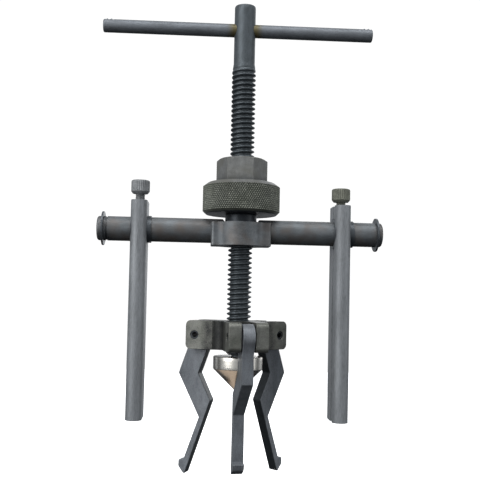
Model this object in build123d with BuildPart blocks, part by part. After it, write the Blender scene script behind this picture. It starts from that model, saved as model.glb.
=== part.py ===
from build123d import *
import os
from math import cos, hypot, radians, sin, sqrt

# A three-jaw puller for pilot bearings, gears and bushings held in a blind bore.
# The jaws are pushed apart inside the bore by a cone on the end of the forcing screw. The two
# legs stand on the work, and the nut on the crossbar draws the screw and the jaws upward.
# Millimetres. The origin is on the screw's axis, in the plane of the two feet. +Z runs up the
# screw and X lies along the crossbar.

running_fit = 0.05  # radial clearance of a part that turns or slides on another
edge_break = 0.4  # chamfer that takes the sharpness off a machined edge

# Crossbar: a round bar with a forged boss in the middle.
bar_length = 148.6
bar_d = 12.7
bar_end_radius = 1.2
boss_d = 25.6
boss_above_axis = 4.4
boss_below_axis = 7.7
shoulder_length = 31.0
shoulder_depth = 15.0
shoulder_radius = 1.5
boss_blend_radius = 6.0
boss_hole_clearance = 0.8  # around the forcing screw
spotface_clearance = 1.25  # around the neck of the pull nut

# Retaining rings, snapped into grooves near the ends of the crossbar.
ring_spacing = 142.6
ring_d = 17.6
ring_thickness = 1.0
ring_gap = 3.0
ring_groove_depth = 0.6
spare_groove_offset = 1.4
spare_groove_width = 0.9
spare_groove_depth = 0.4

# Legs: flat bars with a round front and a groove down one flank, hung on the crossbar.
leg_length = 112.0
leg_width = 8.4
leg_depth = 20.0
leg_back_radius = 2.0
leg_above_axis = 14.5
leg_groove_width = 4.5
leg_groove_depth = 1.2
left_leg_x = -52.7
right_leg_x = 52.7

# Split bushes between the legs and the crossbar, each with a lip sunk in the leg's flank.
bush_wall = 0.6
bush_proud = 2.1
bush_slit = 1.0
bush_lip = 1.0
bush_lip_thickness = 0.6

# Thumbscrews that clamp the legs.
thumb_thread_d = 5.0
thumb_head_d = 9.7
thumb_head_height = 6.9
thumb_taper_height = 1.2
thumb_taper_inset = 0.9
left_thumb_gap = 4.0
right_thumb_gap = 2.4

# Forcing screw: rolled thread, plain post above it with a cross hole for the T-bar.
screw_d = 12.7
post_d = 11.2
post_chamfer = 0.8
post_above_t_bar = 13.0
t_bar_z = 204.2
thread_top_z = 186.2
thread_runout = 5.0
screw_end_z = 33.4
screw_end_chamfer = 1.2

# T-bar, kept in the post by two staked ridges near each end.
t_bar_length = 142.5
t_bar_d = 6.9
t_bar_shift = -3.2
t_bar_end_radius = 0.8
stake_inset = 3.2
stake_lip = 0.4
stake_spacing = 2.2
stake_breadth = 2.4
stake_depth = 0.7

# Pull nut: hexagon, knurled collar and a plain neck that bears on the boss.
nut_across_flats = 23.2
hex_height = 12.7
hex_chamfer_height = 1.0
hex_chamfer_inset = 2.0
hex_turn = -7.0
collar_d = 40.4
collar_height = 16.4
collar_top_chamfer = 2.0
collar_top_inset = 2.7
collar_bottom_chamfer = 1.6
neck_wall = 1.85
neck_height = 4.4

# Jaw hub: three forked arms on a threaded core.
hub_bottom_z = 36.1
hub_height = 14.8
arm_reach = 25.5
arm_width = 20.0
arm_end_radius = 2.6
slot_width = 7.4
slot_root = 11.8
recess_radius = 5.0
recess_distance = 16.4
front_arm_angle = -81.0  # anticlockwise from +X seen from above

# Jaws: flat cranked plates with an outward hook, each on a slotted spring pin.
jaw_thickness = 6.0
pivot_radius = 20.7
pivot_drop = 7.4  # below the top of the hub
jaw_head_radius = 6.6
jaw_corner_radius = 0.8
elbow_radius = 1.5
hook_radius = 2.5
toe_radius = 0.6
front_jaw_swing = -20.0  # the front jaw leans in on the cone, the other two hang straight
pin_d = 4.5
pin_wall = 0.9
pin_slit = 0.9
pin_inset = 0.4

# Spreader cone, free to turn on the spigot of the screw.
cone_d = 25.6
cone_rim_height = 6.2
cone_tip_radius = 0.3
cone_gap = 0.8  # between the screw's end and the top of the cone
spigot_d = 7.0
spigot_length = 9.6
spigot_groove_d = 5.2
spigot_groove_width = 3.2
cone_pin_d = 2.4
cone_pin_inset = 0.4

os.makedirs("parts", exist_ok=True)

# Sizes and heights that follow from the ones above.
bar_z = leg_length - leg_above_axis
boss_top_z = bar_z + boss_above_axis
boss_bottom_z = bar_z - boss_below_axis
collar_bottom_z = boss_top_z + neck_height
collar_top_z = collar_bottom_z + collar_height
hex_top_z = collar_top_z + hex_height
post_top_z = t_bar_z + post_above_t_bar
hub_top_z = hub_bottom_z + hub_height
pivot_z = hub_top_z - pivot_drop
cone_top_z = screw_end_z - cone_gap
cone_rim_z = cone_top_z - cone_rim_height
cone_pin_z = (cone_top_z + cone_rim_z) / 2
screw_bore_r = screw_d / 2 + running_fit
neck_r = screw_bore_r + neck_wall
bush_bore_r = bar_d / 2 + running_fit
bush_r = bush_bore_r + bush_wall


def radial_plane(angle, reach=0.0, height=0.0, swing=0.0):
    """A vertical plane through the screw's axis: x runs outward at the angle and y runs up.
    The swing then tilts it about its own origin, so that what hangs from there moves outward."""
    a = radians(angle)
    s = radians(swing)
    return Plane(
        origin=(reach * cos(a), reach * sin(a), height),
        x_dir=(cos(s) * cos(a), cos(s) * sin(a), sin(s)),
        z_dir=(sin(a), -cos(a), 0),
    )


# ---- crossbar and its retaining rings -----------------------------------------------------------
with BuildPart() as crossbar:
    with BuildSketch(Plane.YZ.offset(-bar_length / 2)):
        with Locations((0, bar_z)):
            Circle(bar_d / 2)
    extrude(amount=bar_length)
    fillet(crossbar.edges().filter_by(GeomType.CIRCLE), bar_end_radius)
    with BuildSketch(Plane.XY.offset(boss_bottom_z)) as boss_outline:
        Circle(boss_d / 2)
        Rectangle(shoulder_length, shoulder_depth)
        corners = boss_outline.vertices().group_by(lambda v: round(abs(v.X), 3))
        fillet(corners[0], boss_blend_radius)
        outer_corners = boss_outline.vertices().group_by(lambda v: round(abs(v.X), 3))[-1]
        fillet(outer_corners, shoulder_radius)
    extrude(amount=boss_top_z - boss_bottom_z)
    with BuildSketch(Plane.XY.offset(boss_top_z)):
        Circle(neck_r + spotface_clearance)
    extrude(amount=bar_d, mode=Mode.SUBTRACT)
    with Locations((0, 0, boss_top_z)):
        Hole(screw_d / 2 + boss_hole_clearance)
    for groove_x, groove_width, groove_depth in (
        (-ring_spacing / 2 - ring_thickness / 2, ring_thickness, ring_groove_depth),
        (ring_spacing / 2 - ring_thickness / 2, ring_thickness, ring_groove_depth),
        (-ring_spacing / 2 + spare_groove_offset, spare_groove_width, spare_groove_depth),
    ):
        with BuildSketch(Plane.YZ.offset(groove_x)):
            with Locations((0, bar_z)):
                Circle(bar_d / 2 + edge_break)
                Circle(bar_d / 2 - groove_depth, mode=Mode.SUBTRACT)
        extrude(amount=groove_width, mode=Mode.SUBTRACT)
crossbar.part.label = "crossbar"
export_step(crossbar.part, "parts/crossbar.step")

for ring_name, ring_x in (
    ("left_retaining_ring", -ring_spacing / 2),
    ("right_retaining_ring", ring_spacing / 2),
):
    with BuildPart() as ring:
        with BuildSketch(Plane.YZ.offset(ring_x - ring_thickness / 2)):
            with Locations((0, bar_z)):
                Circle(ring_d / 2)
                Circle(bar_d / 2 - ring_groove_depth, mode=Mode.SUBTRACT)
            with Locations((ring_d / 2, bar_z)):
                Rectangle(ring_d, ring_gap, mode=Mode.SUBTRACT)
        extrude(amount=ring_thickness)
    ring.part.label = ring_name
    export_step(ring.part, f"parts/{ring_name}.step")

# ---- legs with their bushes and thumbscrews ------------------------------------------------------
thumb_tip_z = bar_z + bush_r + running_fit  # of the right one, which is screwed down
thumb_length = leg_length + right_thumb_gap - thumb_tip_z
for side, leg_x, thumb_gap in (
    ("left", left_leg_x, left_thumb_gap),
    ("right", right_leg_x, right_thumb_gap),
):
    left_flank_x = leg_x - leg_width / 2
    rounding_y = (leg_width - leg_depth) / 2
    with BuildPart() as leg:
        with BuildSketch():
            with Locations((leg_x, leg_depth / 2 - leg_width)):
                RectangleRounded(leg_width, 2 * leg_width, leg_back_radius)
            with Locations((leg_x, 0)):
                Rectangle(leg_width, -2 * rounding_y)
            with Locations((leg_x, rounding_y)):
                Circle(leg_width / 2)
            with Locations((left_flank_x, rounding_y + edge_break + leg_groove_width / 2)):
                Rectangle(2 * leg_groove_depth, leg_groove_width, mode=Mode.SUBTRACT)
        extrude(amount=leg_length)
        with BuildSketch(Plane.YZ.offset(left_flank_x)):
            with Locations((0, bar_z)):
                Circle(bush_r + running_fit)
        extrude(amount=leg_width, mode=Mode.SUBTRACT)
        with BuildSketch(Plane.YZ.offset(left_flank_x)):
            with Locations((0, bar_z)):
                Circle(bush_r + bush_lip + running_fit)
        extrude(amount=bush_lip_thickness + running_fit, mode=Mode.SUBTRACT)
        with Locations((leg_x, 0, leg_length)):
            Hole(thumb_thread_d / 2 + running_fit, depth=leg_above_axis)
    leg.part.label = f"{side}_leg"
    export_step(leg.part, f"parts/{side}_leg.step")

    with BuildPart() as bush:
        with BuildSketch(Plane.YZ.offset(left_flank_x)):
            with Locations((0, bar_z)):
                Circle(bush_r)
        extrude(amount=leg_width + bush_proud)
        with BuildSketch(Plane.YZ.offset(left_flank_x)):
            with Locations((0, bar_z)):
                Circle(bush_r + bush_lip)
        extrude(amount=bush_lip_thickness)
        with BuildSketch(Plane.YZ.offset(left_flank_x)):
            with Locations((0, bar_z)):
                Circle(bush_bore_r)
            with Locations((0, bar_z - bush_r)):
                Rectangle(bush_slit, 2 * bush_r)
        extrude(amount=leg_width + bush_proud, mode=Mode.SUBTRACT)
    bush.part.label = f"{side}_leg_bush"
    export_step(bush.part, f"parts/{side}_leg_bush.step")

    head_z = leg_length + thumb_gap
    with BuildPart() as thumbscrew:
        with BuildSketch(Plane.XZ):
            with BuildLine(Plane.XZ.shift_origin((leg_x, 0, 0))):
                Polyline(
                    (0, head_z - thumb_length),
                    (thumb_thread_d / 2 - edge_break, head_z - thumb_length),
                    (thumb_thread_d / 2, head_z - thumb_length + edge_break),
                    (thumb_thread_d / 2, head_z),
                    (thumb_head_d / 2 - thumb_taper_inset, head_z),
                    (thumb_head_d / 2, head_z + thumb_taper_height),
                    (thumb_head_d / 2, head_z + thumb_head_height - edge_break),
                    (thumb_head_d / 2 - edge_break, head_z + thumb_head_height),
                    (0, head_z + thumb_head_height),
                    close=True,
                )
            make_face()
        revolve(axis=Axis((leg_x, 0, 0), (0, 0, 1)))
    thumbscrew.part.label = f"{side}_thumbscrew"
    export_step(thumbscrew.part, f"parts/{side}_thumbscrew.step")

# ---- forcing screw -------------------------------------------------------------------------------
screw_r = screw_d / 2
spigot_r = spigot_d / 2
spigot_end_z = screw_end_z - spigot_length
groove_low_z = cone_pin_z - spigot_groove_width / 2
groove_high_z = cone_pin_z + spigot_groove_width / 2
with BuildPart() as forcing_screw:
    with BuildSketch(Plane.XZ):
        with BuildLine():
            Polyline(
                (0, spigot_end_z),
                (spigot_r - edge_break, spigot_end_z),
                (spigot_r, spigot_end_z + edge_break),
                (spigot_r, groove_low_z),
                (spigot_groove_d / 2, groove_low_z),
                (spigot_groove_d / 2, groove_high_z),
                (spigot_r, groove_high_z),
                (spigot_r, screw_end_z),
                (screw_r - screw_end_chamfer, screw_end_z),
                (screw_r, screw_end_z + screw_end_chamfer),
                (screw_r, thread_top_z - thread_runout),
                (post_d / 2, thread_top_z),
                (post_d / 2, post_top_z - post_chamfer),
                (post_d / 2 - post_chamfer, post_top_z),
                (0, post_top_z),
                close=True,
            )
        make_face()
    revolve(axis=Axis.Z)
    with BuildSketch(Plane.YZ.offset(-post_d)):
        with Locations((0, t_bar_z)):
            Circle(t_bar_d / 2 + running_fit)
    extrude(amount=2 * post_d, mode=Mode.SUBTRACT)
forcing_screw.part.label = "forcing_screw"
export_step(forcing_screw.part, "parts/forcing_screw.step")

# ---- T-bar ---------------------------------------------------------------------------------------
with BuildPart() as t_bar:
    with BuildSketch(Plane.YZ.offset(t_bar_shift - t_bar_length / 2)):
        with Locations((0, t_bar_z)):
            Circle(t_bar_d / 2)
    extrude(amount=t_bar_length)
    fillet(t_bar.edges().filter_by(GeomType.CIRCLE), t_bar_end_radius)
    crown_z = t_bar_z + t_bar_d / 2
    with BuildSketch(Plane.XZ):
        for end in (-1, 1):
            for ridge in (-1, 1):
                ridge_x = t_bar_shift + end * (t_bar_length / 2 - stake_inset)
                ridge_x += ridge * stake_spacing / 2
                with BuildLine():
                    Polyline(
                        (ridge_x - stake_spacing / 2, crown_z - stake_depth),
                        (ridge_x + stake_spacing / 2, crown_z - stake_depth),
                        (ridge_x, crown_z + stake_lip),
                        close=True,
                    )
                make_face()
    extrude(amount=stake_breadth / 2, both=True)
t_bar.part.label = "t_bar"
export_step(t_bar.part, "parts/t_bar.step")

# ---- pull nut ------------------------------------------------------------------------------------
hex_corner_r = nut_across_flats / sqrt(3)
collar_r = collar_d / 2
with BuildPart() as pull_nut:
    with BuildSketch(Plane.XY.offset(collar_bottom_z)):
        RegularPolygon(hex_corner_r, 6, rotation=hex_turn)
    extrude(amount=collar_height + hex_height)
    with BuildSketch(Plane.XZ):
        with BuildLine():
            Polyline(
                (0, collar_bottom_z),
                (hex_corner_r, collar_bottom_z),
                (hex_corner_r, hex_top_z - hex_chamfer_height),
                (hex_corner_r - hex_chamfer_inset, hex_top_z),
                (0, hex_top_z),
                close=True,
            )
        make_face()
    revolve(axis=Axis.Z, mode=Mode.INTERSECT)
    with BuildSketch(Plane.XZ):
        with BuildLine():
            Polyline(
                (0, boss_top_z),
                (neck_r, boss_top_z),
                (neck_r, collar_bottom_z),
                (collar_r - collar_bottom_chamfer, collar_bottom_z),
                (collar_r, collar_bottom_z + collar_bottom_chamfer),
                (collar_r, collar_top_z - collar_top_chamfer),
                (collar_r - collar_top_inset, collar_top_z),
                (0, collar_top_z),
                close=True,
            )
        make_face()
    revolve(axis=Axis.Z)
    with Locations((0, 0, hex_top_z)):
        Hole(screw_bore_r)
pull_nut.part.label = "pull_nut"
export_step(pull_nut.part, "parts/pull_nut.step")

# ---- jaw hub -------------------------------------------------------------------------------------
with BuildPart() as jaw_hub:
    with BuildSketch(Plane.XY.offset(hub_bottom_z)):
        with PolarLocations(arm_reach / 2, 3, start_angle=front_arm_angle):
            Rectangle(arm_reach, arm_width)
        with PolarLocations(recess_distance, 3, start_angle=front_arm_angle + 60):
            Circle(recess_radius, mode=Mode.SUBTRACT)
    extrude(amount=hub_height)
    arm_ends = jaw_hub.faces().filter_by(
        lambda f: abs(hypot(f.center().X, f.center().Y) - arm_reach) < edge_break
    )
    fillet(arm_ends.edges().filter_by(lambda e: abs(e.tangent_at(0.5).Z) < 0.5), arm_end_radius)
    for arm in range(3):
        arm_angle = front_arm_angle + 120 * arm
        with BuildSketch(Plane.XY.offset(hub_bottom_z).rotated((0, 0, arm_angle))):
            with Locations((slot_root + slot_width / 2, 0)):
                Circle(slot_width / 2)
            with Locations((slot_root + (slot_width + arm_reach) / 2, 0)):
                Rectangle(arm_reach, slot_width)
        extrude(amount=hub_height, mode=Mode.SUBTRACT)
        with BuildSketch(radial_plane(arm_angle)):
            with Locations((pivot_radius, pivot_z)):
                Circle(pin_d / 2)
        extrude(amount=arm_width, both=True, mode=Mode.SUBTRACT)
    with Locations((0, 0, hub_top_z)):
        Hole(screw_bore_r)
jaw_hub.part.label = "jaw_hub"
export_step(jaw_hub.part, "parts/jaw_hub.step")

# ---- jaws and their pins -------------------------------------------------------------------------
# The outline of a jaw in its own plane, as distances outward and upward from its pivot. It runs
# down the outer edge to the hook, round the hook, and up the inner edge.
jaw_outline = (
    (jaw_head_radius, 0),
    (6.0, -6.6),
    (11.05, -20.6),
    (-0.75, -43.2),
    (7.4, -65.7),
    (9.95, -65.8),
    (10.2, -69.2),
    (6.7, -73.5),
    (-6.9, -34.3),
    (-0.05, -20.4),
    (-4.5, -8.0),
    (-jaw_head_radius, 0),
)
jaw_heel = jaw_outline[2]
jaw_bend = jaw_outline[3]
jaw_hook = jaw_outline[6]
jaw_toe = jaw_outline[7]
jaw_elbow = jaw_outline[8]
jaw_knee = jaw_outline[9]
for arm, (jaw_name, swing) in enumerate(
    (("front_jaw", front_jaw_swing), ("right_jaw", 0.0), ("left_jaw", 0.0))
):
    jaw_plane = radial_plane(front_arm_angle + 120 * arm, pivot_radius, pivot_z, swing)
    with BuildPart() as jaw:
        with BuildSketch(jaw_plane) as outline:
            with BuildLine():
                Polyline(*jaw_outline, close=True)
            make_face()
        extrude(amount=jaw_thickness / 2, both=True)
        for corner, corner_radius in (
            (jaw_heel, jaw_corner_radius),
            (jaw_bend, jaw_corner_radius),
            (jaw_hook, hook_radius),
            (jaw_toe, toe_radius),
            (jaw_elbow, elbow_radius),
            (jaw_knee, elbow_radius),
        ):
            corner_point = jaw_plane.from_local_coords(Vector(*corner, 0))
            corner_edges = jaw.edges().filter_by(Axis((0, 0, 0), tuple(jaw_plane.z_dir)))
            fillet(corner_edges.sort_by_distance(corner_point)[0], corner_radius)
        with BuildSketch(jaw_plane):
            Circle(jaw_head_radius)
        extrude(amount=jaw_thickness / 2, both=True)
        with BuildSketch(jaw_plane):
            Circle(pin_d / 2 + running_fit)
        extrude(amount=jaw_thickness, both=True, mode=Mode.SUBTRACT)
    jaw.part.label = jaw_name
    export_step(jaw.part, f"parts/{jaw_name}.step")

    with BuildPart() as pin:
        with BuildSketch(radial_plane(front_arm_angle + 120 * arm, pivot_radius, pivot_z)):
            Circle(pin_d / 2)
            Circle(pin_d / 2 - pin_wall, mode=Mode.SUBTRACT)
            with Locations((-pin_d / 2, 0)):
                Rectangle(pin_d, pin_slit, mode=Mode.SUBTRACT)
        extrude(amount=arm_width / 2 - pin_inset, both=True)
    pin.part.label = f"{jaw_name}_pin"
    export_step(pin.part, f"parts/{jaw_name}_pin.step")

# ---- spreader cone and the pin that holds it on the screw ------------------------------------------
cone_r = cone_d / 2
cone_tip_z = cone_rim_z - cone_r
cone_pin_y = spigot_groove_d / 2 + running_fit + cone_pin_d / 2
with BuildPart() as spreader_cone:
    with BuildSketch(Plane.XZ):
        with BuildLine():
            Polyline(
                (0, cone_tip_z + cone_tip_radius),
                (cone_tip_radius, cone_tip_z + cone_tip_radius),
                (cone_r, cone_rim_z),
                (cone_r, cone_top_z - edge_break),
                (cone_r - edge_break, cone_top_z),
                (0, cone_top_z),
                close=True,
            )
        make_face()
    revolve(axis=Axis.Z)
    with Locations((0, 0, cone_top_z)):
        Hole(spigot_r + running_fit, depth=spigot_length - cone_gap + running_fit)
    with BuildSketch(Plane.YZ.offset(-cone_r)):
        with Locations((cone_pin_y, cone_pin_z)):
            Circle(cone_pin_d / 2)
    extrude(amount=cone_d, mode=Mode.SUBTRACT)
spreader_cone.part.label = "spreader_cone"
export_step(spreader_cone.part, "parts/spreader_cone.step")

cone_pin_length = 2 * (sqrt(cone_r**2 - (cone_pin_y + cone_pin_d / 2) ** 2) - cone_pin_inset)
with BuildPart() as cone_retaining_pin:
    with BuildSketch(Plane.YZ.offset(-cone_pin_length / 2)):
        with Locations((cone_pin_y, cone_pin_z)):
            Circle(cone_pin_d / 2)
    extrude(amount=cone_pin_length)
cone_retaining_pin.part.label = "cone_retaining_pin"
export_step(cone_retaining_pin.part, "parts/cone_retaining_pin.step")
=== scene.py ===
import math
import bmesh
import bpy
import numpy as np
from mathutils import Matrix, Vector


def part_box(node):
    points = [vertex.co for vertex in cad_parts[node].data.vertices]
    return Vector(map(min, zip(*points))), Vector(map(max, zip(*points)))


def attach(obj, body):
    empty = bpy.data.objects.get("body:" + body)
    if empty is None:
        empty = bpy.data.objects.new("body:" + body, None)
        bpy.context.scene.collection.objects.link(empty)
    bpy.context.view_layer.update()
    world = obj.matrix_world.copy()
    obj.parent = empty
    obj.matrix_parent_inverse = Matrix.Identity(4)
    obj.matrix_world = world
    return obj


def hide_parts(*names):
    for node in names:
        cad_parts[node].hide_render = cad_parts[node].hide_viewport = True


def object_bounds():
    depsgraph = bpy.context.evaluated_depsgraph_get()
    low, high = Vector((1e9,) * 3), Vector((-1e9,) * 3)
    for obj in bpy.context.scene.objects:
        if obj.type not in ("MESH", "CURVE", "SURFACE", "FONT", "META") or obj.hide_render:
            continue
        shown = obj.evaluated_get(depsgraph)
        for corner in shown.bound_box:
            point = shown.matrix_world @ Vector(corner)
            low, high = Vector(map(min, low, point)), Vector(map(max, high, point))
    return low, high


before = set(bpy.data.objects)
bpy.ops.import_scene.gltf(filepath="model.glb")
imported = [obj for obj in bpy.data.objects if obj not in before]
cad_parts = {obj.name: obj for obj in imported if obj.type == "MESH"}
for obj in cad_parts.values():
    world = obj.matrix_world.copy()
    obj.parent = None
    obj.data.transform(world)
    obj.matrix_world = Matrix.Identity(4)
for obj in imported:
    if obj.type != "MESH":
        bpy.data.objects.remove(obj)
cad_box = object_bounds()

# ---- Studio --------------------------------------------------------------------------------------
# The puller hangs in front of a white wall over a pale floor, lit like a tool in a catalogue: a
# large soft light high on the left, a weaker one on the right, a strip overhead, a faint light from
# behind, and a room all round that is pale from the horizon up and dim underfoot.
scene = bpy.context.scene
scene.view_settings.view_transform = "Standard"


def aim(obj, place, forward, roll_degrees=0.0):
    """Puts a camera or a light at a place and points it: the local -Z axis lies along forward, and
    the local X axis is level before it is rolled by the angle, right side up."""
    forward = Vector(forward).normalized()
    level = forward.cross(Vector((0, 0, 1))).normalized()
    upward = level.cross(forward)
    roll = math.radians(roll_degrees)
    right = math.cos(roll) * level + math.sin(roll) * upward
    turn = Matrix((right, right.cross(forward), -forward)).transposed()
    obj.matrix_world = Matrix.Translation(place) @ turn.to_4x4()


# The camera, the lights and the floor are placed in metres, and the pieces are sized in millimetres.
camera_distance = 0.400
camera_height = 0.0637
camera_azimuth = math.radians(-3.0)
camera_pitch = math.radians(2.77)
camera_data = bpy.data.cameras.new("camera")
camera_data.sensor_width = 36.0
camera_data.lens = 57.45
camera_data.shift_y = 0.0402
camera_data.clip_start = 0.01
camera = bpy.data.objects.new("camera", camera_data)
scene.collection.objects.link(camera)
scene.camera = camera
aim(
    camera,
    (
        camera_distance * math.sin(camera_azimuth),
        -camera_distance * math.cos(camera_azimuth),
        camera_height,
    ),
    (
        -math.sin(camera_azimuth) * math.cos(camera_pitch),
        math.cos(camera_azimuth) * math.cos(camera_pitch),
        math.sin(camera_pitch),
    ),
    roll_degrees=1.25,
)

for light_name, place, target, width, height, watts in (
    ("left_softbox", (-0.85, -0.75, 0.45), (0, 0, 0.09), 0.7, 0.9, 10.0),
    ("right_softbox", (0.9, -0.45, 0.20), (0, 0, 0.09), 0.4, 0.9, 2.0),
    ("overhead_strip", (0.0, -0.35, 0.95), (0, 0, 0.1), 0.9, 0.4, 6.0),
    ("rear_softbox", (0.45, 0.95, 0.45), (0, 0, 0.09), 0.9, 0.9, 4.0),
):
    light_data = bpy.data.lights.new(light_name, "AREA")
    light_data.shape = "RECTANGLE"
    light_data.size = width
    light_data.size_y = height
    light_data.energy = watts
    light = bpy.data.objects.new(light_name, light_data)
    scene.collection.objects.link(light)
    light.visible_camera = False
    aim(light, place, Vector(target) - Vector(place))


def add(tree, kind, inputs=None, **settings):
    """Adds one shader node. Settings are its own properties; inputs are values or linked sockets."""
    made = tree.nodes.new(kind)
    for key, value in settings.items():
        setattr(made, key, value)
    for key, value in (inputs or {}).items():
        if isinstance(value, bpy.types.NodeSocket):
            tree.links.new(value, made.inputs[key])
        else:
            made.inputs[key].default_value = value
    return made


def paint(hex_colour):
    """The linear colour of an sRGB hex value such as '#7c8084', with an alpha of 1."""
    srgb = np.array([int(hex_colour[i : i + 2], 16) for i in (1, 3, 5)]) / 255.0
    linear = np.where(srgb <= 0.04045, srgb / 12.92, ((srgb + 0.055) / 1.055) ** 2.4)
    return (*linear.tolist(), 1.0)


# The camera sees a plain white wall. Only the metal sees the room, which grades from dark at the
# bottom to pale at the top.
world = bpy.data.worlds.new("room")
scene.world = world
world.use_nodes = True
sky = world.node_tree
sky.nodes.clear()
direction = add(sky, "ShaderNodeTexCoord")
height_part = add(sky, "ShaderNodeSeparateXYZ", {0: direction.outputs["Generated"]})
lifted = add(
    sky,
    "ShaderNodeMapRange",
    {"Value": height_part.outputs["Z"], "From Min": -0.6, "From Max": 0.6},
)
room_tone = add(sky, "ShaderNodeValToRGB", {0: lifted.outputs[0]})
room_tone.color_ramp.elements[0].position = 0.12
room_tone.color_ramp.elements[0].color = paint("#26282c")
room_tone.color_ramp.elements[1].position = 0.85
room_tone.color_ramp.elements[1].color = paint("#c6cace")
horizon = room_tone.color_ramp.elements.new(0.42)
horizon.color = paint("#b0b4b8")
room = add(sky, "ShaderNodeBackground", {"Color": room_tone.outputs["Color"], "Strength": 1.0})
wall = add(sky, "ShaderNodeBackground", {"Color": (1, 1, 1, 1), "Strength": 1.05})
ray = add(sky, "ShaderNodeLightPath")
seen = add(
    sky,
    "ShaderNodeMixShader",
    {0: ray.outputs["Is Camera Ray"], 1: room.outputs[0], 2: wall.outputs[0]},
)
add(sky, "ShaderNodeOutputWorld", {"Surface": seen.outputs[0]})

floor_drop = 0.10
floor_reach = 1.6
floor_z = cad_box[0].z - floor_drop
floor_mesh = bpy.data.meshes.new("floor")
floor_mesh.from_pydata(
    [(x * floor_reach, y * floor_reach, floor_z) for x, y in ((-1, -1), (1, -1), (1, 1), (-1, 1))],
    [],
    [(0, 1, 2, 3)],
)
floor = bpy.data.objects.new("floor", floor_mesh)
scene.collection.objects.link(floor)
floor_paper = bpy.data.materials.new("white_paper")
floor_paper.use_nodes = True
paper = floor_paper.node_tree.nodes["Principled BSDF"]
paper.inputs["Base Color"].default_value = paint("#f6f6f6")
paper.inputs["Roughness"].default_value = 0.9
paper.inputs["Emission Color"].default_value = (1, 1, 1, 1)
paper.inputs["Emission Strength"].default_value = 0.9
floor_mesh.materials.append(floor_paper)
floor.visible_glossy = False
floor.visible_diffuse = False


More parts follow.
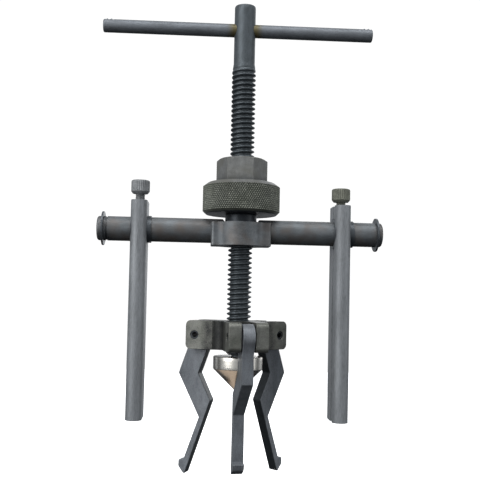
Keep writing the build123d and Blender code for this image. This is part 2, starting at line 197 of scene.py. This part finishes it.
# ---- Forcing screw -------------------------------------------------------------------------------
# A half-inch steel screw, its thread rolled at ten turns to the inch, with a plain turned post on
# top that is drilled across for the T-bar. Black phosphate, oiled: satin, and nearly black in the
# thread, where oil and dirt stay and painted shade darkens the roots.
def oxide_steel(
    name,
    face,
    worn,
    roughness,
    grain_mm,
    draw=(1, 1, 1),
    wear=0.5,
    bump=0.2,
    tint=None,
    axis_stain_and_shade_mm=None,
    axis_stain_and_shade="#101214",
):
    """Blackened steel: a thin oxide over ground metal, so it is partly metallic, dark and satin.
    Mottling a dozen grains wide varies its tone, a fine grain roughens it, edges rub back to paler
    steel, and the hollows are darkened with painted shade as well as oil and dirt.
    draw stretches the grain along an axis, as on a drawn or turned bar. tint is the brown that a hot
    blacking leaves in patches. Within the given reach in millimetres of the screw's axis it takes the
    given colour there. That colour is a real rust stain on the T-bar, and painted shade on the hub,
    where shade falls in the recesses round its bore."""
    material = bpy.data.materials.new(name)
    material.use_nodes = True
    tree = material.node_tree
    steel = tree.nodes["Principled BSDF"]
    steel.inputs["Metallic"].default_value = 0.6
    place = add(tree, "ShaderNodeTexCoord")
    along = add(tree, "ShaderNodeMapping", {"Vector": place.outputs["Object"], "Scale": draw})
    patch_mm = 9.0
    axis_stain_and_shade_blur_mm = 1.5
    tooth_mm = 0.04
    grain_scale = 1000.0 / grain_mm
    # The mottle and the grain add up to about 1 where both are at their middle.
    mottle = add(
        tree,
        "ShaderNodeTexNoise",
        {"Vector": along.outputs[0], "Scale": grain_scale / 12, "Detail": 6.0, "Roughness": 0.62},
    )
    grain = add(
        tree,
        "ShaderNodeTexNoise",
        {"Vector": along.outputs[0], "Scale": grain_scale, "Detail": 3.0, "Roughness": 0.6},
    )
    speckle = add(
        tree,
        "ShaderNodeMath",
        {0: mottle.outputs["Fac"], 1: grain.outputs["Fac"]},
        operation="ADD",
    )
    tone = add(
        tree,
        "ShaderNodeMapRange",
        {"Value": speckle.outputs[0], "From Min": 0.74, "From Max": 1.26},
    )
    dark = [0.72 * c for c in paint(face)[:3]] + [1.0]
    light = [min(1.0, 1.26 * c) for c in paint(face)[:3]] + [1.0]
    body = add(
        tree,
        "ShaderNodeMix",
        {"Factor": tone.outputs[0], "A": dark, "B": light},
        data_type="RGBA",
    )
    skin = body.outputs["Result"]
    if tint:
        patch = add(
            tree,
            "ShaderNodeTexNoise",
            {"Vector": place.outputs["Object"], "Scale": 1000.0 / patch_mm, "Detail": 2.0},
        )
        spread = add(
            tree,
            "ShaderNodeMapRange",
            {"Value": patch.outputs["Fac"], "From Min": 0.42, "From Max": 0.68, "To Max": 0.75},
        )
        skin = add(
            tree,
            "ShaderNodeMix",
            {"Factor": spread.outputs[0], "A": skin, "B": paint(tint)},
            data_type="RGBA",
        ).outputs["Result"]
    # Near the screw's axis the colour is replaced: with a real rust stain on the T-bar, and with painted
    # shade on the hub, whose recesses round the bore lie in shade.
    if axis_stain_and_shade_mm:
        level = add(
            tree,
            "ShaderNodeVectorMath",
            {0: place.outputs["Object"], 1: (1, 1, 0)},
            operation="MULTIPLY",
        )
        reach = add(tree, "ShaderNodeVectorMath", {0: level.outputs[0]}, operation="LENGTH")
        near_axis = add(
            tree,
            "ShaderNodeMapRange",
            {
                "Value": reach.outputs["Value"],
                "From Min": (axis_stain_and_shade_mm + axis_stain_and_shade_blur_mm) / 1000,
                "From Max": (axis_stain_and_shade_mm - axis_stain_and_shade_blur_mm) / 1000,
                "To Max": 1.0,
            },
        )
        skin = add(
            tree,
            "ShaderNodeMix",
            {"Factor": near_axis.outputs[0], "A": skin, "B": paint(axis_stain_and_shade)},
            data_type="RGBA",
        ).outputs["Result"]
    # Pointiness is 0.5 on a flat face, more on an edge and less in a hollow.
    edge = add(tree, "ShaderNodeNewGeometry")
    rub = add(
        tree,
        "ShaderNodeMapRange",
        {
            "Value": edge.outputs["Pointiness"],
            "From Min": 0.515,
            "From Max": 0.60,
            "To Max": wear,
        },
    )
    patchy = add(
        tree,
        "ShaderNodeMath",
        {0: rub.outputs[0], 1: tone.outputs[0]},
        operation="MULTIPLY",
    )
    coat = add(
        tree,
        "ShaderNodeMix",
        {"Factor": patchy.outputs[0], "A": skin, "B": paint(worn)},
        data_type="RGBA",
    )
    # Painted shade: where pointiness falls below a flat face's, the colour is mixed towards #1c1f20, for
    # the shade in hollows as well as oil and dirt.
    hollow = add(
        tree,
        "ShaderNodeMapRange",
        {"Value": edge.outputs["Pointiness"], "From Min": 0.49, "From Max": 0.43, "To Max": 0.75},
    )
    grime_and_shade = add(
        tree,
        "ShaderNodeMix",
        {"Factor": hollow.outputs[0], "A": coat.outputs["Result"], "B": paint("#1c1f20")},
        data_type="RGBA",
    )
    tree.links.new(grime_and_shade.outputs["Result"], steel.inputs["Base Color"])
    satin = add(
        tree,
        "ShaderNodeMapRange",
        {
            "Value": grain.outputs["Fac"],
            "From Min": 0.3,
            "From Max": 0.7,
            "To Min": roughness - 0.07,
            "To Max": roughness + 0.08,
        },
    )
    tree.links.new(satin.outputs[0], steel.inputs["Roughness"])
    tooth = add(
        tree,
        "ShaderNodeBump",
        {"Height": grain.outputs["Fac"], "Strength": bump, "Distance": tooth_mm / 1000},
    )
    tree.links.new(tooth.outputs[0], steel.inputs["Normal"])
    return material


def stepped(points, longest):
    """The points of a profile in millimetres with more set evenly between them, so that no step is
    longer than the given length."""
    rows = [np.array(points[:1], float)]
    for start, end in zip(points[:-1], points[1:]):
        gap = math.dist(start, end)
        steps = max(1, math.ceil(gap / longest))
        share = np.linspace(0, 1, steps + 1)[1:, None]
        rows.append(np.array(start) + share * (np.array(end) - np.array(start)))
    return np.vstack(rows)


def swept(profile, columns):
    """A profile of (radius, height) points carried once round the axis: the angle of each column, and
    the height and radius at each row and column."""
    turn = np.linspace(0, 2 * math.pi, columns, endpoint=False)
    height = np.repeat(profile[:, 1:], columns, axis=1)
    radius = np.repeat(profile[:, :1], columns, axis=1)
    return turn, height, radius


def turned(name, radius, height, centre=(0, 0), axis="Z", sharp=30.0):
    """A solid of revolution, in millimetres. radius and height are rows by columns: the rows follow
    the profile so that metal lies on its left, and the columns go once round the axis. A first or
    last row of radius 0 is a pole. Other profiles close on themselves, as round a bore."""
    rows, columns = radius.shape
    turn = np.linspace(0, 2 * math.pi, columns, endpoint=False)
    across = centre[0] + radius * np.cos(turn)
    over = centre[1] + radius * np.sin(turn)
    spots = np.stack((across, over, height), axis=2)
    if axis == "X":
        spots = spots[:, :, [2, 0, 1]]
    first_pole = bool(np.all(radius[0] == 0))
    last_pole = bool(np.all(radius[-1] == 0))
    wraps = not (first_pole or last_pole)
    here = np.arange(rows * columns).reshape(rows, columns)
    beyond = np.roll(here, -1, axis=0) if wraps else here[1:]
    low = here if wraps else here[:-1]
    quads = np.stack((low, np.roll(low, -1, 1), np.roll(beyond, -1, 1), beyond), axis=2)
    mesh = bpy.data.meshes.new(name)
    mesh.from_pydata((spots.reshape(-1, 3) / 1000).tolist(), [], quads.reshape(-1, 4).tolist())
    # Points that fall together at a pole become one, and the slivers between them go.
    tidy = bmesh.new()
    tidy.from_mesh(mesh)
    bmesh.ops.remove_doubles(tidy, verts=tidy.verts, dist=2e-6)
    bmesh.ops.dissolve_degenerate(tidy, edges=tidy.edges, dist=1e-7)
    tidy.to_mesh(mesh)
    tidy.free()
    mesh.shade_smooth()
    mesh.set_sharp_from_angle(angle=math.radians(sharp))
    piece = bpy.data.objects.new(name, mesh)
    scene.collection.objects.link(piece)
    return piece


def thread_cut(height, turn, pitch, depth, crest_flat=0.16, root_flat=0.2):
    """How far a right-handed thread is cut below its crest. The cut repeats once each pitch and
    climbs one pitch each turn. It is flat on the crest and at the root, and the flank between them is
    part straight line and part S-curve, so that it eases into both."""
    straight_share = 0.35
    phase = np.mod(height / pitch - turn / (2 * math.pi), 1.0)
    rise = 1.0 - np.abs(2 * phase - 1.0)
    cut = np.clip((rise - crest_flat) / (1 - crest_flat - root_flat), 0, 1)
    return depth * (straight_share * cut + (1 - straight_share) * cut * cut * (3 - 2 * cut))


def drill(piece, radius, start, end):
    """Drills a round hole through a piece, from start to end in millimetres. The bit is turned by half
    of one of its sides, so that none of its corners meets a row of the piece's own points."""
    start, end = Vector(start) / 1000, Vector(end) / 1000
    sides = 48
    bit_mesh = bpy.data.meshes.new("bit")
    bit = bmesh.new()
    bmesh.ops.create_cone(
        bit,
        cap_ends=True,
        segments=sides,
        radius1=radius / 1000,
        radius2=radius / 1000,
        depth=(end - start).length,
        matrix=Matrix.Translation((start + end) / 2)
        @ (end - start).to_track_quat("Z", "Y").to_matrix().to_4x4()
        @ Matrix.Rotation(math.pi / sides, 4, "Z"),
    )
    bit.to_mesh(bit_mesh)
    bit.free()
    bit_piece = bpy.data.objects.new("bit", bit_mesh)
    scene.collection.objects.link(bit_piece)
    hole = piece.modifiers.new("hole", "BOOLEAN")
    hole.object = bit_piece
    hole.operation = "DIFFERENCE"
    hole.solver = "EXACT"
    apply_modifiers(piece)
    bpy.data.objects.remove(bit_piece)


def apply_modifiers(piece):
    """Bakes a piece's modifiers into its mesh, which keeps the shading that they give it."""
    graph = bpy.context.evaluated_depsgraph_get()
    finished = bpy.data.meshes.new_from_object(
        piece.evaluated_get(graph), preserve_all_data_layers=True, depsgraph=graph
    )
    piece.modifiers.clear()
    piece.data = finished


thread_pitch = 2.54
thread_depth = 1.5
thread_steps = 12  # rows of points to each turn of the thread
screw_r = 6.35
screw_end_chamfer = 1.2
screw_bottom = 33.4
thread_top = 186.2
thread_fade = 5.0  # the crest comes down to the post over this height
thread_run_in = 0.8
thread_run_out = 8.0
post_r = 5.6
post_chamfer = 0.8
post_knee_in, post_knee_down = 0.25, 0.2  # the point that rounds the post's top corner
spigot_r = 3.5
spigot_chamfer = 0.4
groove_r = 2.6
groove_width = 3.2
bar_hole_clearance = 0.05
bar_hole_reach = 10
screw_low, screw_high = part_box("forcing_screw")
spigot_end = screw_low.z * 1000
post_top = screw_high.z * 1000
t_low, t_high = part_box("t_bar")
t_bar_r = (t_high.y - t_low.y) * 500
t_bar_z = t_low.z * 1000 + t_bar_r
# The pin that holds the cone on runs in a groove round the spigot.
pin_low, pin_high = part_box("cone_retaining_pin")
pin_middle = (pin_low + pin_high) * 500
groove_low = pin_middle.z - groove_width / 2
groove_high = pin_middle.z + groove_width / 2
plain_step = 1.5
profile = np.vstack(
    (
        stepped(
            [
                (0, spigot_end),
                (spigot_r - spigot_chamfer, spigot_end),
                (spigot_r, spigot_end + spigot_chamfer),
            ],
            plain_step,
        ),
        stepped([(spigot_r, groove_low), (groove_r, groove_low)], plain_step),
        stepped([(groove_r, groove_high), (spigot_r, groove_high)], plain_step),
        stepped([(spigot_r, screw_bottom), (screw_r - screw_end_chamfer, screw_bottom)], plain_step),
        stepped(
            [
                (screw_r, screw_bottom + screw_end_chamfer),
                (screw_r, thread_top - thread_fade),
                (post_r, thread_top),
            ],
            thread_pitch / thread_steps,
        ),
        stepped([(post_r, thread_top + 1), (post_r, post_top - post_chamfer)], 2.0),
        stepped(
            [
                (post_r - post_knee_in, post_top - post_knee_down),
                (post_r - post_chamfer, post_top),
                (0, post_top),
            ],
            plain_step,
        ),
    )
)
turn, height, radius = swept(profile, columns=72)
threaded = (height > screw_bottom) & (height < thread_top) & (radius > spigot_r)
# The thread reaches its full depth half a millimetre above the bottom, and grows shallow over its
# last three turns.
run_in = np.clip((height - screw_bottom + 0.3) / thread_run_in, 0, 1)
run_out = np.clip((thread_top - height) / thread_run_out, 0, 1)
cut = thread_cut(height, turn, thread_pitch, thread_depth) * run_in * run_out
radius = np.where(threaded, np.minimum(radius, screw_r - cut), radius)
screw = turned("forcing_screw_steel", radius, height, sharp=40)
bar_hole_r = t_bar_r + bar_hole_clearance
drill(screw, bar_hole_r, (-bar_hole_reach, 0, t_bar_z), (bar_hole_reach, 0, t_bar_z))
screw.data.materials.append(
    oxide_steel(
        "phosphated_screw_steel", "#484e52", "#75797c", 0.52, grain_mm=0.22, draw=(1, 1, 0.5), wear=0.3
    )
)
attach(screw, "forcing_screw")
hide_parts("forcing_screw")


# ---- T-bar ---------------------------------------------------------------------------------------
# A turned bar that slides through the post. Each end is struck twice with a chisel on one side,
# which raises two small lips that stop the bar from sliding out. A trace of rust has crept out of
# the post's hole on to it.
def rounded_end(end, bar_r, corner, outward):
    """Profile points of a bar's end: a quarter circle of the corner's radius between its side and
    its flat end. outward is +1 for the far end and -1 for the near one."""
    sweep = np.linspace(0, math.pi / 2, 7)
    along = end + outward * (corner * np.sin(sweep) - corner)
    points = np.stack((bar_r - corner + corner * np.cos(sweep), along), axis=1)
    return points if outward > 0 else points[::-1]


bar_lo = t_low.x * 1000
bar_hi = t_high.x * 1000
bar_corner = 0.8
lip_inset = 2.1
lip_spacing = 2.2
lip_height = 0.4
lip_width = 0.32
notch_offset = 0.75
notch_depth = 0.35
notch_width = 0.36
lip_reach = 6.0  # how far from each end the points are close enough for the lips
fine_step = 0.18
lip_places = (
    bar_lo + lip_inset,
    bar_lo + lip_inset + lip_spacing,
    bar_hi - lip_inset - lip_spacing,
    bar_hi - lip_inset,
)
near_end = rounded_end(bar_lo, t_bar_r, bar_corner, -1)
far_end = rounded_end(bar_hi, t_bar_r, bar_corner, 1)
profile = np.vstack(
    (
        [[0, bar_lo]],
        near_end,
        stepped([(t_bar_r, bar_lo + 1), (t_bar_r, bar_lo + lip_reach)], fine_step),
        stepped([(t_bar_r, bar_lo + lip_reach + 2), (t_bar_r, bar_hi - lip_reach - 2)], 3.0),
        stepped([(t_bar_r, bar_hi - lip_reach), (t_bar_r, bar_hi - 1)], fine_step),
        far_end,
        [[0, bar_hi]],
    )
)
turn, height, radius = swept(profile, columns=64)
# Only the top quarter of the bar is struck. Each blow leaves a bell-shaped lip and a notch beside it.
upward = np.clip(np.sin(turn) * 4.0 - 3.0, 0, 1)
for place in lip_places:
    crest = np.exp(-(((height - place) / lip_width) ** 2))
    notch = np.exp(-(((height - place - notch_offset) / notch_width) ** 2))
    radius = radius + (radius > 0) * upward * (lip_height * crest - notch_depth * notch)
t_bar = turned("t_bar_steel", radius, height, centre=(0, t_bar_z), axis="X")
bar_steel = oxide_steel(
    "phosphated_bar_steel",
    "#666a6f",
    "#909396",
    0.56,
    grain_mm=0.25,
    draw=(0.3, 1, 1),
    axis_stain_and_shade_mm=8.5,
    axis_stain_and_shade="#5c553c",
)
t_bar.data.materials.append(bar_steel)
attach(t_bar, "t_bar")
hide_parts("t_bar")


# ---- Pull nut ------------------------------------------------------------------------------------
# One turned piece: a plain neck that bears on the crossbar's boss, a collar with a diamond knurl to
# spin it by hand, and a hexagon for a wrench. The oxide on it is oiled and slightly olive.
def facet_rows(piece, what):
    """The "center" or the "normal" of each of a piece's facets, as the rows of an array."""
    facets = piece.data.polygons
    rows = np.empty(3 * len(facets), np.float32)
    facets.foreach_get(what, rows)
    return rows.reshape(-1, 3).astype(float)


nut_low, nut_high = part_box("pull_nut")
nut_bottom = nut_low.z * 1000
nut_top = nut_high.z * 1000
neck_r = 8.25
neck_height = 4.4
neck_ease = 0.3
neck_fillet = 0.5
bore_r = 6.4
collar_r = (nut_high.x - nut_low.x) * 500
collar_height = 16.4
foot_inset = 1.7
shoulder_r = collar_r - 2.8
collar_bottom = nut_bottom + neck_height
collar_top = collar_bottom + collar_height
knurl_bottom = collar_bottom + 1.6
knurl_top = collar_top - 2.0
knurl_step = 0.19
flats = 23.2
hex_turn = math.radians(-7.0)
hex_corner_r = flats / math.sqrt(3)
hex_side_top = nut_top - 1.0
hex_cone_r = hex_corner_r - 2.0
hex_cone_slope = 0.5
knurl_depth = 0.45
knurls_round = 104
knurl_lean = math.radians(32)
profile = np.vstack(
    (
        stepped([(bore_r, nut_bottom), (neck_r - neck_ease, nut_bottom)], 1.0),
        [[neck_r, nut_bottom + neck_ease]],
        stepped([(neck_r, collar_bottom - neck_fillet), (neck_r + neck_fillet, collar_bottom)], 0.3),
        stepped([(collar_r - foot_inset, collar_bottom), (collar_r - 0.1, knurl_bottom - 0.1)], 0.6),
        stepped([(collar_r, knurl_bottom), (collar_r, knurl_top)], knurl_step),
        stepped([(collar_r - 0.2, knurl_top + 0.15), (shoulder_r + 0.3, collar_top - 0.15)], 0.8),
        stepped([(shoulder_r, collar_top), (hex_corner_r + 0.4, collar_top)], 1.2),
        stepped([(hex_corner_r, collar_top), (hex_corner_r, hex_side_top)], 3.0),
        stepped([(hex_corner_r, hex_side_top + 0.01), (hex_cone_r, nut_top)], 0.25),
        stepped([(hex_cone_r - 0.2, nut_top), (bore_r + 0.6, nut_top)], 1.5),
        stepped([(bore_r, nut_top - 0.6), (bore_r, nut_bottom + 0.4)], 6.0),
    )
)
turn, height, radius = swept(profile, columns=6 * knurls_round)
# The hexagon's flats stand at half the width across flats from the axis, so its polar radius is
# that over the cosine of the angle from the nearest flat. A cone takes off its top corners.
off_flat = np.mod(turn - hex_turn, math.pi / 3) - math.pi / 6
hex_r = flats / 2 / np.cos(off_flat)
on_hex = (height >= collar_top) & (radius <= hex_corner_r) & (radius >= hex_cone_r)
radius = np.where(on_hex, np.minimum(radius, hex_r), radius)
cone_z = nut_top - hex_cone_slope * np.clip(radius - hex_cone_r, 0, None)
height = np.where(on_hex & (profile[:, 1:] > hex_side_top + 0.005), cone_z, height)
# Two crossed sets of grooves leave rows of small pyramids: the height of one is the lower of two
# triangle waves that lean opposite ways, clipped where hands have rubbed the points flat.
round_pitch = 2 * math.pi * collar_r / knurls_round
climb = math.tan(knurl_lean) / round_pitch
left_lean = np.mod(knurls_round * turn / (2 * math.pi) + (height - knurl_bottom) * climb, 1.0)
right_lean = np.mod(knurls_round * turn / (2 * math.pi) - (height - knurl_bottom) * climb, 1.0)
pyramid = np.minimum(1 - np.abs(2 * left_lean - 1), 1 - np.abs(2 * right_lean - 1))
on_knurl = (height >= knurl_bottom) & (height <= knurl_top) & (radius > collar_r - 0.01)
radius = np.where(on_knurl, collar_r - knurl_depth * (1 - np.clip(1.5 * pyramid, 0, 1)), radius)
pull_nut = turned("pull_nut_steel", radius, height, sharp=42)
# The hexagon is rubbed grey by wrenches, and the knurl holds oil and painted shade between its pale
# points. The neck is blue-black phosphate, and it and the underside of the collar are darkened
# further with painted shade, which falls under the collar.
for finish in (
    oxide_steel("rubbed_hexagon_steel", "#6a6b6a", "#9c9b96", 0.55, grain_mm=0.25, tint="#62615a"),
    oxide_steel("oiled_knurl_steel", "#585b54", "#b0b0a4", 0.52, grain_mm=0.25, wear=1.0, tint="#4c5046"),
    oxide_steel("black_and_shaded_nut_steel", "#2e3237", "#54585c", 0.42, grain_mm=0.25, wear=0.2),
):
    pull_nut.data.materials.append(finish)
rise = facet_rows(pull_nut, "center")[:, 2] * 1000
# Facets below the knurl take the near-black finish: the neck's own black with painted shade.
finishes = np.select([rise < knurl_bottom - 1.2, rise < knurl_top], [2, 1], 0)
pull_nut.data.polygons.foreach_set("material_index", finishes.astype(np.int32))
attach(pull_nut, "pull_nut")
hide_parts("pull_nut")


# ---- Crossbar, rings and bushes ------------------------------------------------------------------
# A round bar with a forged and milled boss in the middle, blackened to a satin grey with brown
# patches. Snap rings near its ends keep the legs on, and each leg slides on a split bush. Rings and
# bushes are blued spring steel, darker and smoother than the bar.
def eased(node, name, width_mm, material, body):
    """The piece as the drawing has it, with its sharp edges eased: a copy of the solid's mesh, joined
    at its seams, with a small round worked along every edge sharper than 35 degrees."""
    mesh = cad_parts[node].data.copy()
    mesh.name = name
    mesh.materials.clear()
    seams = bmesh.new()
    seams.from_mesh(mesh)
    bmesh.ops.remove_doubles(seams, verts=seams.verts, dist=1e-6)
    bmesh.ops.dissolve_limit(
        seams, angle_limit=math.radians(0.8), verts=seams.verts, edges=seams.edges
    )
    seams.to_mesh(mesh)
    seams.free()
    mesh.shade_smooth()
    mesh.set_sharp_from_angle(angle=math.radians(35))
    piece = bpy.data.objects.new(name, mesh)
    scene.collection.objects.link(piece)
    edge = piece.modifiers.new("eased edge", "BEVEL")
    edge.width = width_mm / 1000
    edge.segments = 2
    edge.limit_method = "ANGLE"
    edge.angle_limit = math.radians(35)
    edge.harden_normals = True
    even = piece.modifiers.new("even shading", "WEIGHTED_NORMAL")
    even.keep_sharp = True
    apply_modifiers(piece)
    piece.data.materials.append(material)
    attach(piece, body)
    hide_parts(node)
    return piece


crossbar_steel = oxide_steel(
    "phosphated_crossbar_steel", "#5f6366", "#909294", 0.54, grain_mm=0.3, draw=(0.4, 1, 1), tint="#5a534e"
)
eased("crossbar", "crossbar_steel", 0.3, crossbar_steel, "crossbar")
spring_steel = oxide_steel("blued_spring_steel", "#44484c", "#787c80", 0.42, grain_mm=0.2)
for side in ("left", "right"):
    for node, body in (
        (f"{side}_retaining_ring", "crossbar"),
        (f"{side}_leg_bush", f"{side}_leg_bush"),
    ):
        eased(node, f"{node}_steel", 0.12, spring_steel, body)

# ---- Legs ----------------------------------------------------------------------------------------
# Two flat bars with a round front and a groove milled down one flank, sawn off square at the feet.
# They are drawn lengthwise, which leaves a faint vertical grain under the blacking.
leg_steel = oxide_steel(
    "drawn_leg_steel", "#797c7f", "#a0a3a6", 0.58, grain_mm=0.3, draw=(1, 1, 0.12), bump=0.25
)
for side in ("left", "right"):
    eased(f"{side}_leg", f"{side}_leg_steel", 0.35, leg_steel, f"{side}_leg")

# ---- Thumbscrews ---------------------------------------------------------------------------------
# Turned M5 screws that clamp the legs, with a tall head, fluted to be nipped up by hand. The left one
# is rubbed grey, and the right one is still olive with oil.
head_r = 4.85
head_height = 6.9
taper_height = 1.2
taper_inset = 0.9
stem_r = 2.5
stem_pitch = 0.8
stem_thread_depth = 0.3
flutes_round = 30
flute_depth = 0.22
for side, face in (("left", "#7a7c7e"), ("right", "#66675d")):
    thumb_steel = oxide_steel(f"{side}_fluted_screw_steel", face, "#9a9b96", 0.55, grain_mm=0.2)
    low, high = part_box(f"{side}_thumbscrew")
    foot = low.z * 1000
    top = high.z * 1000
    head = top - head_height
    grip = head + taper_height
    middle = ((low.x + high.x) * 500, 0)
    profile = np.vstack(
        (
            stepped([(0, foot), (stem_r - 0.5, foot)], 1.0),
            stepped([(stem_r, foot + 0.5), (stem_r, head)], 0.1),
            stepped(
                [(stem_r + 0.2, head), (head_r - taper_inset, head), (head_r - 0.1, grip - 0.15)], 0.5
            ),
            stepped([(head_r, grip), (head_r, top - 0.7)], 0.6),
            stepped([(head_r - 0.15, top - 0.3), (head_r - 0.5, top), (0, top)], 0.8),
        )
    )
    turn, height, radius = swept(profile, columns=6 * flutes_round)
    on_stem = (height > foot + 0.1) & (height < head - 0.1)
    cut = thread_cut(height, turn, stem_pitch, stem_thread_depth)
    radius = np.where(on_stem, np.minimum(radius, stem_r - cut), radius)
    flute = 0.5 - 0.5 * np.cos(flutes_round * turn)
    on_head = (height > grip - 0.05) & (height < top - 0.6)
    radius = np.where(on_head, head_r - flute_depth * flute, radius)
    thumbscrew = turned(f"{side}_thumbscrew_steel", radius, height, centre=middle, sharp=45)
    thumbscrew.data.materials.append(thumb_steel)
    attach(thumbscrew, f"{side}_thumbscrew")
    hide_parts(f"{side}_thumbscrew")

# ---- Jaw hub and spring pins ---------------------------------------------------------------------
# A forged three-armed hub, threaded through its core, slotted for the jaws and tumbled so that its
# edges are round. Its middle, round the screw, is painted nearly black as shade, which falls in the
# recesses between its arms. Slotted spring pins, driven through the arms, carry the jaws.
hub_steel = oxide_steel(
    "forged_hub_steel", "#5e5f5b", "#9a9a92", 0.50, grain_mm=0.4, wear=0.8, tint="#454840", axis_stain_and_shade_mm=19.0
)
eased("jaw_hub", "jaw_hub_steel", 0.4, hub_steel, "jaw_hub")
# The pins' ends lie just inside the arms, in shade, so they are painted nearly black as shade.
pin_steel = oxide_steel("sunk_pin_shade_steel", "#2b2e31", "#5c6064", 0.45, grain_mm=0.2, wear=0.3)
for jaw in ("front", "right", "left"):
    pin = f"{jaw}_jaw_pin"
    eased(pin, f"{pin}_steel", 0.15, pin_steel, "jaw_hub")

# ---- Jaws ----------------------------------------------------------------------------------------
# Cranked plates, blanked from flat stock and blackened, with an even blue-grey satin on their broad
# faces and rubbed edges.
jaw_steel = oxide_steel(
    "blanked_jaw_steel", "#6c7075", "#9a9da0", 0.56, grain_mm=0.3, draw=(1, 1, 0.4), wear=0.6
)
# The faces that look in towards the screw and the cone get a nearly black finish.
inner_face_steel = oxide_steel("inner_face_jaw_steel", "#33383b", "#5c6063", 0.44, grain_mm=0.3, wear=0.2)
for jaw in ("front_jaw", "right_jaw", "left_jaw"):
    plate = eased(jaw, f"{jaw}_steel", 0.3, jaw_steel, jaw)
    plate.data.materials.append(inner_face_steel)
    outward = facet_rows(plate, "center")[:, :2]
    outward /= np.linalg.norm(outward, axis=1, keepdims=True)
    inward = -np.sum(outward * facet_rows(plate, "normal")[:, :2], axis=1)
    plate.data.polygons.foreach_set("material_index", (inward > 0.5).astype(np.int32))

# ---- Spreader cone -------------------------------------------------------------------------------
# A cone turned from bar and bright plated, held on the screw's spigot by a cross pin. The plating is
# a semi-bright mirror, smeared by handling, over faint lathe rings.
cone_low, cone_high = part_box("spreader_cone")
cone_r = (cone_high.x - cone_low.x) * 500
cone_top = cone_high.z * 1000
cone_rim_height = 6.2
cone_rim = cone_top - cone_rim_height
cone_tip = cone_low.z * 1000
spigot_clearance = 0.05
spigot_bore_r = spigot_r + spigot_clearance
spigot_bore_end = spigot_end - spigot_clearance
cone_pin_r = 1.2
pin_hole_reach = 15
profile = np.vstack(
    (
        stepped([(0, cone_tip), (0.25, cone_tip + 0.02), (0.5, cone_tip + 0.2)], 0.3),
        stepped([(cone_r - 0.3, cone_rim - 0.55), (cone_r - 0.05, cone_rim - 0.15)], 0.3),
        stepped([(cone_r, cone_rim + 0.2), (cone_r, cone_top - 0.4)], 1.5),
        stepped([(cone_r - 0.12, cone_top - 0.12), (cone_r - 0.4, cone_top)], 0.3),
        stepped([(cone_r - 1, cone_top), (spigot_bore_r, cone_top)], 2.0),
        stepped([(spigot_bore_r, spigot_bore_end), (0, spigot_bore_end)], 2.0),
    )
)
_, height, radius = swept(profile, columns=128)
cone = turned("spreader_cone_steel", radius, height)
drill(
    cone,
    cone_pin_r,
    (-pin_hole_reach, pin_middle.y, pin_middle.z),
    (pin_hole_reach, pin_middle.y, pin_middle.z),
)
plating = bpy.data.materials.new("bright_plated_steel")
plating.use_nodes = True
tree = plating.node_tree
bright = tree.nodes["Principled BSDF"]
bright.inputs["Metallic"].default_value = 1.0
bright.inputs["Base Color"].default_value = paint("#dcd8d0")
place = add(tree, "ShaderNodeTexCoord")
# A real tool's feed marks, a fraction of a millimetre apart, are too fine to show, so the rings are
# coarser: a band node makes 20 / (2 * pi) rings in each unit of its scale, or one in 1.6 mm here.
ring_scale = 200.0
ring_depth_mm = 0.03
smear_scale = 220.0  # smears about 4.5 mm across
rings = add(
    tree,
    "ShaderNodeTexWave",
    {
        "Vector": place.outputs["Object"],
        "Scale": ring_scale,
        "Distortion": 0.6,
        "Detail": 2.0,
    },
    wave_type="BANDS",
    bands_direction="Z",
)
smears = add(
    tree,
    "ShaderNodeTexNoise",
    {"Vector": place.outputs["Object"], "Scale": smear_scale, "Detail": 4.0},
)
gloss = add(
    tree,
    "ShaderNodeMapRange",
    {
        "Value": smears.outputs["Fac"],
        "From Min": 0.3,
        "From Max": 0.7,
        "To Min": 0.24,
        "To Max": 0.34,
    },
)
tree.links.new(gloss.outputs[0], bright.inputs["Roughness"])
lathe = add(
    tree,
    "ShaderNodeBump",
    {"Height": rings.outputs["Fac"], "Strength": 0.06, "Distance": ring_depth_mm / 1000},
)
tree.links.new(lathe.outputs[0], bright.inputs["Normal"])
cone.data.materials.append(plating)
# A small warm card under the tool lights only the plating, which would else mirror the dark below.
card_place = (-0.03, 0.0, -0.11)
card_data = bpy.data.lights.new("warm_card", "AREA")
card_data.shape = "RECTANGLE"
card_data.size = 0.24
card_data.size_y = 0.24
card_data.energy = 0.13
card_data.color = paint("#e2cdb9")[:3]
card = bpy.data.objects.new("warm_card", card_data)
scene.collection.objects.link(card)
card.visible_camera = False
aim(card, card_place, (cone_low + cone_high) / 2 - Vector(card_place))
plated = bpy.data.collections.new("plated")
plated.objects.link(cone)
card.light_linking.receiver_collection = plated
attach(cone, "cone")
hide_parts("spreader_cone")
eased("cone_retaining_pin", "cone_pin_steel", 0.15, spring_steel, "cone")
